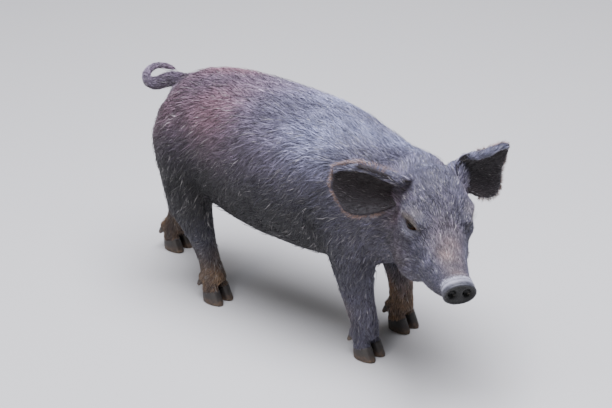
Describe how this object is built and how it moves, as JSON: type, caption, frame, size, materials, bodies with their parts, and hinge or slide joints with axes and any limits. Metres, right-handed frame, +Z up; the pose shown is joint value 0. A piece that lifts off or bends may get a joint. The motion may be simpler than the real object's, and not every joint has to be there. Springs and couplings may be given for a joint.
{
  "type": "young pig",
  "caption": "Young black pig in mid stride, head lowered and turned to its right, ears spread, tail curled: a still, life-size model.",
  "frame": {"origin": "on the floor, under the middle of the bounding box", "axes": "+X towards the pig's front, +Y to its left, +Z up"},
  "size_m": [0.7218, 0.245, 0.367],
  "materials": {
    "coat": "black skin under sparse dark bristles",
    "snout": "bare damp skin",
    "horn": "satin horn",
    "eye": "wet and clear over dark brown"
  },
  "bodies": {
    "root": {"trunk": "coat", "neck": "coat", "head": "coat", "snout_disc": "snout", "tail_base": "coat", "tail_curl": "coat", "tail_tip": "coat", "right_ear": "coat", "left_ear": "coat", "right_eye": "eye", "left_eye": "eye", "right_hind_leg": "coat", "right_hind_outer_claw": "horn", "right_hind_outer_dewclaw": "horn", "right_hind_inner_claw": "horn", "right_hind_inner_dewclaw": "horn", "left_hind_leg": "coat", "left_hind_outer_claw": "horn", "left_hind_outer_dewclaw": "horn", "left_hind_inner_claw": "horn", "left_hind_inner_dewclaw": "horn", "right_fore_leg": "coat", "right_fore_outer_claw": "horn", "right_fore_outer_dewclaw": "horn", "right_fore_inner_claw": "horn", "right_fore_inner_dewclaw": "horn", "left_fore_leg": "coat", "left_fore_outer_claw": "horn", "left_fore_outer_dewclaw": "horn", "left_fore_inner_claw": "horn", "left_fore_inner_dewclaw": "horn"}
  },
  "joints": []
}
